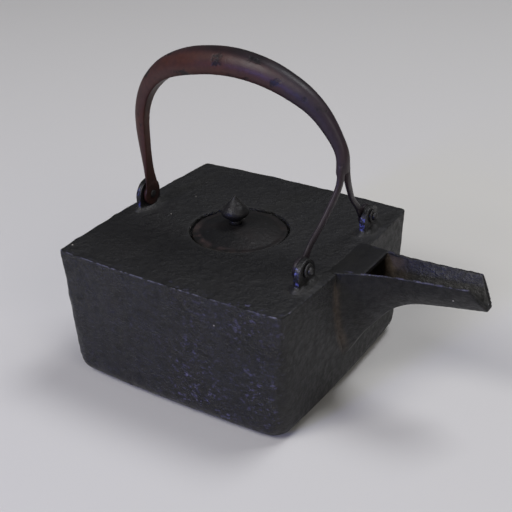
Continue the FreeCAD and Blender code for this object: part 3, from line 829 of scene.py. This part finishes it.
def makeHandle():
    bm = softened(mergedCopy("handle"), handle["voxel"], handle["smoothing"])
    roughen(bm, handle["roughness"])
    cool = layer(bm, "cool")
    paintedTopShadeAndDarkFoot = layer(bm, "paintedTopShadeAndDarkFoot")
    for vertex in bm.verts:
        x, y, z = vertex.co / mm
        # Cooler towards the right, plus a painted sheen where the bar faces up.
        paintedTopSheen = handle["paintedTopSheen"] * smoothstep(0.5, 0.95, vertex.normal.z)
        vertex[cool] = handle["cool"] * smoothstep(-6.0, 44.0, x) + paintedTopSheen
        uneven = 0.75 + 0.5 * noise.noise(vertex.co / 0.009)
        # Painted shade where the bar faces up, and darker towards the feet.
        above = smoothstep(0.62, 0.95, vertex.normal.z) * smoothstep(-50.0, -5.0, x) * handle["paintedTopShade"]
        foot = handle["footDarkening"] * (1 - smoothstep(86.0, 118.0, z))
        vertex[paintedTopShadeAndDarkFoot] = min(max(above, foot) * uneven, 1.0)
    return meshFrom(bm, "handle")


newPiece("bailHandle", makeHandle(), forgedHandle, "kettle", ["handle"])
print("handle made")


def turnedPiece(profile, centre, axis, steps, step=0.5):
    # Spins a profile of (radius, height) in millimetres about an axis through the centre.
    bm = bmesh.new()
    points = []
    for (firstRadius, firstHeight), (nextRadius, nextHeight) in zip(profile, profile[1:]):
        length = math.hypot(nextRadius - firstRadius, nextHeight - firstHeight)
        count = max(1, round(length / step))
        for part in range(count):
            t = part / count
            points.append((mix(firstRadius, nextRadius, t), mix(firstHeight, nextHeight, t)))
    points.append(profile[-1])
    along = Vector(axis)
    outward = Vector((1, 0, 0)) if abs(along.x) < 0.5 else Vector((0, 0, 1))
    places = [Vector(centre) + outward * radius + along * height for radius, height in points]
    verts = [bm.verts.new(place * mm) for place in places]
    edges = [bm.edges.new(pair) for pair in zip(verts, verts[1:])]
    bmesh.ops.spin(bm, geom=verts + edges, cent=Vector(centre) * mm, axis=along, angle=2 * math.pi,
                   steps=steps, use_merge=True, use_duplicate=False)
    bmesh.ops.remove_doubles(bm, verts=bm.verts[:], dist=1e-6)
    bmesh.ops.recalc_face_normals(bm, faces=bm.faces[:])
    return bm


# Lid: a flat rim, a small step up and a low dome; the flange below goes down into the mouth.
lid = {"radius": 25.6, "rimWidth": 3.2, "rimStep": 0.25, "dome": 3.9, "edgeDrop": 0.9, "flange": 21.9,
       "flangeWall": 2.4, "flangeDrop": 5.0, "steps": 320, "domeSteps": 20, "domePower": 1.9,
       "roughness": ((0.016, 0.0003, 4.1), (0.0065, 0.0001, 6.6), (0.003, 0.00004, 0.4)), "rustLeast": 0.12,
       "rustMost": 0.75, "rustAngle": -120, "rustWidth": 42}
knob = {"x": -1.7, "stem": 2.0, "clearance": 0.06, "collar": 3.3, "collarHeight": 2.2, "seat": 0.3,
        "roughness": ((0.006, 0.00012, 3.3), (0.0026, 0.00004, 5.5)), "steps": 112, "washerSteps": 96}


def lidProfile():
    top = kettle["height"] - lid["edgeDrop"]
    under = kettle["height"] - kettle["seatDepth"]
    inner = lid["radius"] - lid["rimWidth"]
    ring = lid["flange"] - lid["flangeWall"]
    crown = top + lid["rimStep"]
    profile = [(0, under), (ring - 0.3, under), (ring, under - 0.3), (ring, under - lid["flangeDrop"] + 0.3),
               (ring + 0.4, under - lid["flangeDrop"]), (lid["flange"] - 0.4, under - lid["flangeDrop"]),
               (lid["flange"], under - lid["flangeDrop"] + 0.4), (lid["flange"], under - 0.2),
               (lid["flange"] + 0.2, under), (lid["radius"] - 0.3, under), (lid["radius"], under + 0.3),
               (lid["radius"], top - 0.6), (lid["radius"] - 0.2, top - 0.2), (lid["radius"] - 0.6, top),
               (inner, top), (inner - 0.6, crown)]
    first = inner - 0.6
    for count in range(1, lid["domeSteps"] + 1):
        radius = first * (1 - count / lid["domeSteps"])
        profile.append((radius, crown + lid["dome"] * (1 - (radius / first) ** lid["domePower"])))
    return profile


def cylinderMesh(radius, low, high, x):
    bm = bmesh.new()
    bmesh.ops.create_cone(bm, cap_ends=True, segments=64, radius1=radius * mm, radius2=radius * mm,
                          depth=(high - low) * mm)
    bmesh.ops.translate(bm, verts=bm.verts[:], vec=Vector((x, 0, (low + high) / 2)) * mm)
    return meshFrom(bm, "bore")


def makeLid():
    bm = turnedPiece(lidProfile(), (kettle["mouthX"], 0, 0), (0, 0, 1), lid["steps"])

    def hold(place):
        return smoothstep(71.8, 73.6, place.z / mm)

    roughen(bm, lid["roughness"], hold)
    rust = layer(bm, "rust")
    for vertex in bm.verts:
        x, y, z = vertex.co / mm
        away = math.hypot(x - kettle["mouthX"], y)
        angle = math.degrees(math.atan2(y, x - kettle["mouthX"]))
        rim = smoothstep(20.5, 22.6, away) * smoothstep(72.5, 73.5, z)
        front = math.exp(-((angle - lid["rustAngle"]) / lid["rustWidth"]) ** 2)
        uneven = 0.5 + 0.5 * noise.noise(vertex.co / 0.0045)
        amount = lid["rustLeast"] + lid["rustMost"] * front
        vertex[rust] = rim * amount * smoothstep(0.3, 0.75, uneven)
    return meshFrom(bm, "lid")


lidMesh = cutAway(makeLid(), cylinderMesh(knob["stem"] + knob["clearance"], 60, 90, knob["x"]))
crownTop = kettle["height"] - lid["edgeDrop"] + lid["rimStep"] + lid["dome"]
lidMesh = cutAway(lidMesh, cylinderMesh(knob["collar"] + 0.3, crownTop - knob["seat"], 90, knob["x"]))
newPiece("roundLid", lidMesh, castLid, "lid", ["lid"])
print("lid made")


# Knob: a bud on a collar, its stem riveted under the lid.
bud = [(2.9, 0), (3.2, 0.25), (3.7, 0.75), (4.6, 1.3), (5.6, 1.9), (6.4, 2.5), (7.0, 3.2), (7.4, 3.9),
       (7.5, 4.6), (7.35, 5.5), (6.95, 6.4), (6.2, 7.4), (5.3, 8.4), (4.25, 9.4), (3.3, 10.4), (2.5, 11.2),
       (1.8, 12.0), (1.3, 12.7), (0.9, 13.2), (0.5, 13.65), (0, 14)]
collarBase = crownTop - knob["seat"]
budBase = collarBase + knob["collarHeight"]
underLid = kettle["height"] - kettle["seatDepth"]


def makeKnob():
    low = underLid - 1.0
    profile = [(0, low - 1.3), (1.3, low - 1.3), (2.56, low - 0.8), (3.2, low - 0.1), (3.1, low), (2.0, low),
               (2.0, budBase), (2.7, budBase)]
    profile += [(radius, budBase + height) for radius, height in bud]
    bm = turnedPiece(profile, (knob["x"], 0, 0), (0, 0, 1), knob["steps"], step=0.4)

    def hold(place):
        return smoothstep(budBase + 0.3, budBase + 2.0, place.z / mm)

    roughen(bm, knob["roughness"], hold)
    return meshFrom(bm, "knob")


def makeCollar():
    bore = knob["stem"] + knob["clearance"]
    outer = knob["collar"]
    tall = knob["collarHeight"]
    profile = [(bore, 0.0), (outer - 0.3, 0.0), (outer, 0.3), (outer, tall - 0.8), (outer - 0.3, tall - 0.3),
               (outer - 0.8, tall), (bore, tall), (bore, 0.0)]
    raised = [(radius, collarBase + height) for radius, height in profile]
    bm = turnedPiece(raised, (knob["x"], 0, 0), (0, 0, 1), knob["washerSteps"], step=0.25)
    return meshFrom(bm, "knobCollar")


def makeWasher():
    bore = knob["stem"] + knob["clearance"]
    profile = [(bore, -1.0), (4.8, -1.0), (5.0, -0.8), (5.0, -0.2), (4.8, 0.0), (bore, 0.0), (bore, -1.0)]
    raised = [(radius, underLid + height) for radius, height in profile]
    bm = turnedPiece(raised, (knob["x"], 0, 0), (0, 0, 1), knob["washerSteps"], step=0.25)
    return meshFrom(bm, "knobWasher")


newPiece("budKnob", makeKnob(), castKnob, "knob", ["knob"])
newPiece("knobCollar", makeCollar(), castKnob, "knob", ["knob_collar"])
newPiece("knobWasher", makeWasher(), forgedPin, "knob", ["knob_washer"])
print("knob made")


# Rivets and their washers, turned about lines along X. A row gives the shank's start and end, the height of
# its two heads, the line's y and z, and where the washer starts.
rivets = {"shank": 1.6, "head": 2.2, "washer": 3.7, "plate": 1.3, "steps": 64, "washerSteps": 72}
rivetRows = {
    "right": {"shank": (56.55, 63.05), "heads": (0.9, 2.2), "line": (-34.4, 83.2), "washer": 61.75},
    "left": {"shank": (56.55, 63.05), "heads": (0.9, 2.2), "line": (34.4, 83.2), "washer": 61.75},
    "rear": {"shank": (-63.05, -56.55), "heads": (2.2, 0.7), "line": (0.0, 82.6), "washer": -63.05},
}


def domeProfile(start, height, way):
    points = []
    for count in range(9):
        angle = math.pi / 2 * count / 8
        points.append((rivets["head"] * math.cos(angle), start + way * height * math.sin(angle)))
    return points


def makeRivet(name, row):
    start, end = row["shank"]
    y, z = row["line"]
    low = domeProfile(start, row["heads"][0], -1)
    high = domeProfile(end, row["heads"][1], 1)
    profile = list(reversed(low)) + [(rivets["shank"], start), (rivets["shank"], end)] + high
    bm = turnedPiece(profile, (0, y, z), (1, 0, 0), rivets["steps"], step=0.3)
    roughen(bm, ((0.003, 0.00012, 1.0 + y * 0.1), (0.0014, 0.00005, 3.0)))
    return meshFrom(bm, name)


def makePinWasher(name, row):
    bore, outer, thick = rivets["shank"] + 0.02, rivets["washer"], rivets["plate"]
    profile = [(bore, 0.0), (outer - 0.35, 0.0), (outer, 0.3), (outer, thick - 0.4), (outer - 0.4, thick),
               (bore, thick), (bore, 0.0)]
    placed = [(radius, row["washer"] + height) for radius, height in profile]
    bm = turnedPiece(placed, (0, *row["line"]), (1, 0, 0), rivets["washerSteps"], step=0.25)
    return meshFrom(bm, name)


for name, row in rivetRows.items():
    newPiece(name + "Rivet", makeRivet(name + "Rivet", row), forgedPin, "kettle",
             [name + "_rivet"])
    newPiece(name + "Washer", makePinWasher(name + "Washer", row), forgedPin, "kettle",
             [name + "_washer"])
print("rivets made")


# Studio: a plain pale floor, soft lamps at the front and above, a weak warm fill from the right and a cool
# window. A lamp gives its place, what it points at, its size in metres, its power in watts and its colour.
studio = {"floor": (0.6, 0.592, 0.578, 1), "floorHalf": 4.0, "floorRough": 0.9, "sky": (0.95, 0.96, 1.0, 1),
          "skyStrength": 0.075,
          "lamps": {"mainLamp": ((-0.55, -1.9, 2.2), (0, 0, 0.03), (1.3, 1.3), 48.0, (1.0, 0.985, 0.96)),
                    "topLamp": ((0.5, 0.75, 2.2), (0, 0, 0), (0.9, 0.9), 25.0, (0.95, 0.96, 1.0)),
                    "fillLamp": ((1.6, -0.75, 0.95), (0.05, 0, 0.05), (0.9, 0.9), 7.0, (1.0, 0.95, 0.88)),
                    "coolWindow": ((-0.3, -1.5, 0.5), (0, 0, 0.05), (0.2, 0.22), 6.5, (0.2, 0.25, 1.0))}}


def areaLamp(name, place, aim, size, power, colour):
    data = bpy.data.lights.new(name, "AREA")
    data.shape = "RECTANGLE"
    data.size = size[0]
    data.size_y = size[1]
    data.energy = power
    data.color = colour
    lamp = bpy.data.objects.new(name, data)
    lamp.location = place
    lamp.rotation_euler = (Vector(aim) - Vector(place)).to_track_quat("-Z", "Y").to_euler()
    bpy.context.scene.collection.objects.link(lamp)


def makeStudio():
    bm = bmesh.new()
    bmesh.ops.create_grid(bm, x_segments=1, y_segments=1, size=studio["floorHalf"])
    floor = bpy.data.objects.new("floor", meshFrom(bm, "floor"))
    bpy.context.scene.collection.objects.link(floor)
    material = bpy.data.materials.new("paleFloor")
    material.use_nodes = True
    shader = material.node_tree.nodes["Principled BSDF"]
    shader.inputs["Base Color"].default_value = studio["floor"]
    shader.inputs["Roughness"].default_value = studio["floorRough"]
    floor.data.materials.append(material)
    world = bpy.data.worlds.new("studio")
    world.use_nodes = True
    background = world.node_tree.nodes["Background"]
    background.inputs["Color"].default_value = studio["sky"]
    background.inputs["Strength"].default_value = studio["skyStrength"]
    bpy.context.scene.world = world
    for name, lamp in studio["lamps"].items():
        areaLamp(name, *lamp)
    bpy.context.scene.view_settings.view_transform = "Standard"


makeStudio()
print("studio made")
